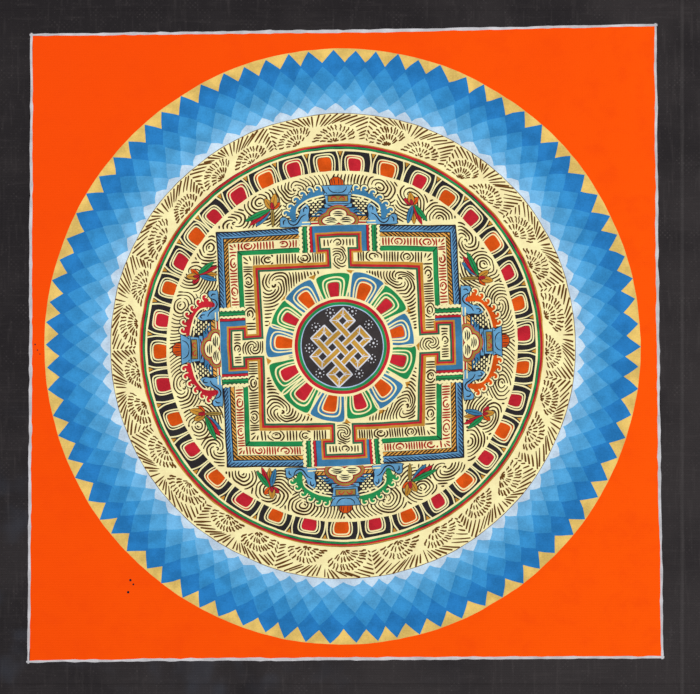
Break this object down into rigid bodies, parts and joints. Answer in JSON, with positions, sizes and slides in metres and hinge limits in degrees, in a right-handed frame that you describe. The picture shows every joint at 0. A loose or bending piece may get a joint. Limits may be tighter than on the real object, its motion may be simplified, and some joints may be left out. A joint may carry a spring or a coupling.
{
  "type": "unmounted thangka painting on cotton canvas",
  "caption": "Square mandala painting on a thin cotton canvas sheet with a black painted margin, lying flat and face up; soft creases where a frame held it.",
  "frame": {"origin": "centre of the sheet's box at its lowest point, on the surface it lies on", "axes": "+Z out of the painted face, +Y towards the painting's upper edge, +X towards its right-hand edge"},
  "size_m": [0.24, 0.24, 0.0018],
  "materials": {
    "painted_canvas": "matt painted cotton canvas: black margin, orange field, blue and gold mandala, bare cream cotton on the back"
  },
  "bodies": {
    "root": {"painted_canvas": "painted_canvas"}
  },
  "joints": []
}
